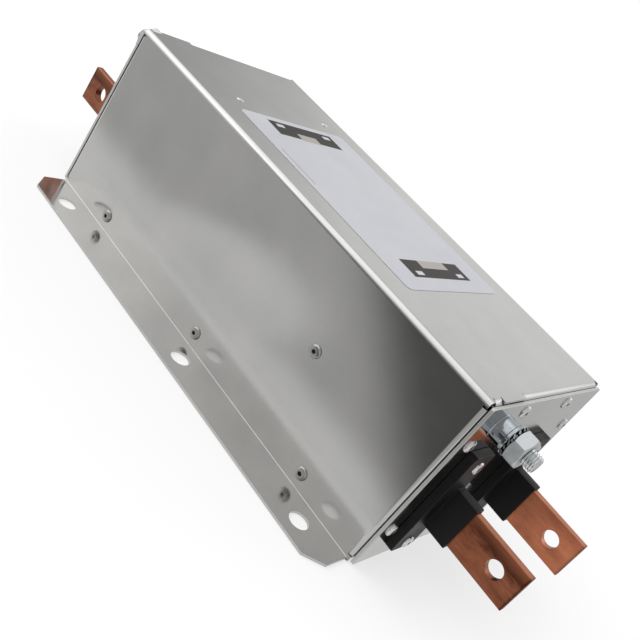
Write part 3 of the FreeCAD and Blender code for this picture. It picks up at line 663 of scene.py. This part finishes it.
def make_nuts():
    """The hexagon nut: flats cut from a chamfered blank, with a countersunk bore."""
    corner = nut_flats / math.sqrt(3)
    land = nut_flats / 2 - nut_land_inset
    drop = (corner - land) * math.tan(math.radians(30))
    bore = thread_radius - nut_bore_inset
    flare = bore + nut_countersink
    blank = [(bore, nut_countersink), (flare, 0), (land, 0), (corner, drop), (corner, nut_height - drop),
             (land, nut_height), (flare, nut_height), (bore, nut_height - nut_countersink),
             (bore, nut_countersink)]
    piece = turned("nut", blank, nut_steps)
    bpy.ops.object.select_all(action="DESELECT")
    bpy.ops.mesh.primitive_cylinder_add(vertices=6, radius=corner * MM, depth=3 * nut_height * MM)
    prism = bpy.context.object
    prism.data.transform(Matrix.Rotation(math.radians(90), 4, "Z"))
    apply_modifier(piece, "BOOLEAN", operation="INTERSECT", object=prism, solver="EXACT")
    bpy.data.objects.remove(prism)
    soften(piece, nut_edge, 2, 25)
    nuts = both_ends(piece, "earth_nuts_hexagon", nut_seat, nut_turn)
    finish_piece(nuts, nut_zinc, "stud_metal", "earth_nuts")


def make_washers():
    """The toothed lock washers, their stamped edges slightly broken."""
    piece = cad_copy("earth_washers")
    piece.name = "earth_washers_toothed"
    nudge(piece, lambda x, y, z: x > end_from, (plate_shift, 0, 0))
    soften(piece, washer_edge, 1)
    finish_piece(piece, washer_steel, "washer_metal", "earth_washers")


# The label and the pieces that stay as packed
def dress_packed_nodes():
    """Materials for the CAD nodes that keep their shape."""
    finishes = {
        "rating_label": label_film, "base_tray": inner_steel, "capacitor_shelf": inner_steel,
        "capacitor_bracket": inner_steel, "strap_a": bar_copper, "strap_b": bar_copper,
        "core_cradle": cradle_nylon, "busbar_spacer": spacer_board, "discharge_resistor": resistor_enamel,
        "choke_core_1": core_ferrite, "choke_core_2": core_ferrite,
        "earth_capacitor_a": capacitor_case, "earth_capacitor_b": capacitor_case,
        "line_capacitor_1": capacitor_case, "line_capacitor_2": capacitor_case,
    }
    for node, material in finishes.items():
        dress(node, material)


make_cover()
make_end_plates()
make_bars()
make_insulators()
make_rivets()
make_bosses()
make_studs()
make_nuts()
make_washers()
dress_packed_nodes()


# Studio: places and sizes in metres, and the glow that the floor adds where it is seen
floor_size = 12
floor_drop = 0.0004
floor_glow = 0.61
card_size = 1.4
card_places = (("front_card", (0, -0.81, 0)), ("back_card", (0.2, 0.75, 0)))


def make_floor():
    """A wide pale floor that keeps the object's soft shadow and looks white to the camera and in metal."""
    bpy.ops.object.select_all(action="DESELECT")
    bpy.ops.mesh.primitive_plane_add(size=floor_size, location=(0, 0, -floor_drop))
    floor = bpy.context.object
    floor.name = "floor"
    material, tree, shader = new_material("matt_white_paper_floor", 0.0, 0.9)[:3]
    shader.inputs["Base Color"].default_value = linear("#A8A8A8")
    shader.inputs["Specular IOR Level"].default_value = 0.0
    shader.inputs["Emission Color"].default_value = (1, 1, 1, 1)
    seen = seen_rays(tree)
    glow = add(tree, "ShaderNodeMath", {"operation": "MULTIPLY", 1: floor_glow}, {0: seen}).outputs[0]
    tree.links.new(glow, shader.inputs["Emission Strength"])
    floor.data.materials.append(material)


def seen_rays(tree):
    """1 for rays from the camera, a gloss or a clear piece, else 0."""
    path = add(tree, "ShaderNodeLightPath", {}).outputs
    seen = path["Is Camera Ray"]
    for ray in ("Is Glossy Ray", "Is Transmission Ray"):
        seen = add(tree, "ShaderNodeMath", {"operation": "MAXIMUM"}, {0: seen, 1: path[ray]}).outputs[0]
    return seen


def make_cards():
    """Grey cards in front of side A and behind the near end, seen only in the metal: their tones are painted
    reflections.
    """
    material, tree, shader, where = new_material("matt_grey_card_painted_reflection", 0.0, 0.9)
    shader.inputs["Specular IOR Level"].default_value = 0.0
    tree.links.new(painted_reflection_tones(tree, where), shader.inputs["Base Color"])
    for name, place in card_places:
        bpy.ops.object.select_all(action="DESELECT")
        bpy.ops.mesh.primitive_plane_add(size=card_size, location=place)
        card = bpy.context.object
        card.name = name
        bpy.ops.object.transform_apply(location=True)
        card.visible_camera = False
        card.visible_diffuse = False
        card.visible_shadow = False
        card.data.materials.append(material)


def painted_reflection_tones(tree, where):
    """Painted reflection levels on the cards, from places in metres: a pale band, a pale patch and a dark
    slope.
    """
    x, y, z = add(tree, "ShaderNodeSeparateXYZ", {}, {0: where}).outputs
    near = ramp(tree, y, -0.172, -0.122, 0.0, 1.0)
    behind = ramp(tree, y, 0.05, 0.12, 1.0, 0.0)
    band = add(tree, "ShaderNodeMath", {"operation": "MULTIPLY"}, {0: near, 1: behind}).outputs[0]
    middle = {"operation": "SUBTRACT", 1: (-0.07, -0.13, 0)}
    apart = add(tree, "ShaderNodeVectorMath", middle, {0: where}).outputs[0]
    stretch = {"operation": "MULTIPLY", 1: (11.8, 8.3, 0)}
    apart = add(tree, "ShaderNodeVectorMath", stretch, {0: apart}).outputs[0]
    apart = add(tree, "ShaderNodeVectorMath", {"operation": "LENGTH"}, {0: apart}).outputs["Value"]
    patch = ramp(tree, apart, 0.65, 1.15, 0.78, 0.0)
    pale = add(tree, "ShaderNodeMath", {"operation": "MAXIMUM"}, {0: band, 1: patch}).outputs[0]
    slant = add(tree, "ShaderNodeMath", {"operation": "SUBTRACT"}, {0: x, 1: y}).outputs[0]
    slope = ramp(tree, slant, 0.235, 0.33, 0.0, 1.0)
    left = ramp(tree, x, 0.13, 0.20, 1.0, 0.0)
    dark = add(tree, "ShaderNodeMath", {"operation": "MULTIPLY"}, {0: slope, 1: left}).outputs[0]
    level = add(tree, "ShaderNodeMapRange", {"To Min": 0.58, "To Max": 0.98}, {"Value": pale}).outputs[0]
    shade = add(tree, "ShaderNodeMix", {"data_type": "FLOAT", 3: 0.1}, {0: dark, 2: level}).outputs[0]
    return add(tree, "ShaderNodeCombineColor", {}, {0: shade, 1: shade, 2: shade}).outputs[0]


# The light tent: direction of the middle, half angle in degrees and added level of each zone
tent_level = 0.70
tent_zones = (
    ((-0.52, -0.10, 0.85), 40, 1.1),
    ((-0.85, -0.45, 0.36), 31, 1.36),
    ((-0.30, -0.74, 0.58), 30, 0.62),
    ((-0.35, -0.93, 0.05), 24, -0.45),
    ((-0.30, 0.85, 0.41), 60, 0.26),
    ((-0.85, 0.50, 0.20), 32, -0.45),
    ((0.35, 0.80, 0.50), 24, 0.9),
)


def make_world():
    """A light tent of soft zones, plain white behind the object."""
    world = bpy.data.worlds.new("light_tent")
    bpy.context.scene.world = world
    world.use_nodes = True
    tree = world.node_tree
    direction = add(tree, "ShaderNodeTexCoord", {}).outputs["Generated"]
    level = add(tree, "ShaderNodeValue", {}).outputs[0]
    level.default_value = tent_level
    for aim, half_angle, change in tent_zones:
        towards = {"operation": "DOT_PRODUCT", 1: Vector(aim).normalized()}
        lined = add(tree, "ShaderNodeVectorMath", towards, {0: direction}).outputs["Value"]
        zone = ramp(tree, lined, math.cos(math.radians(half_angle)), 1.0, 0.0, change)
        level = add(tree, "ShaderNodeMath", {"operation": "ADD"}, {0: zone, 1: level}).outputs[0]
    camera_ray = add(tree, "ShaderNodeLightPath", {}).outputs["Is Camera Ray"]
    seen = add(tree, "ShaderNodeMix", {"data_type": "FLOAT", 3: 1.0}, {0: camera_ray, 2: level}).outputs[0]
    background = tree.nodes["Background"]
    background.inputs["Color"].default_value = (1, 1, 1, 1)
    tree.links.new(seen, background.inputs["Strength"])


def make_camera():
    """The photograph's camera, turned about its view axis as it was."""
    data = bpy.data.cameras.new("camera")
    data.lens = camera_lens
    data.sensor_width = camera_sensor
    data.clip_start = 0.01
    camera = bpy.data.objects.new("camera", data)
    bpy.context.scene.collection.objects.link(camera)
    axes = (camera_right, camera_up, [-part for part in camera_forward], camera_place)
    camera.matrix_world = Matrix([[axis[row] for axis in axes] for row in range(3)] + [[0, 0, 0, 1]])
    bpy.context.scene.camera = camera


make_floor()
make_cards()
make_world()
make_camera()
bpy.context.scene.view_settings.view_transform = "Standard"
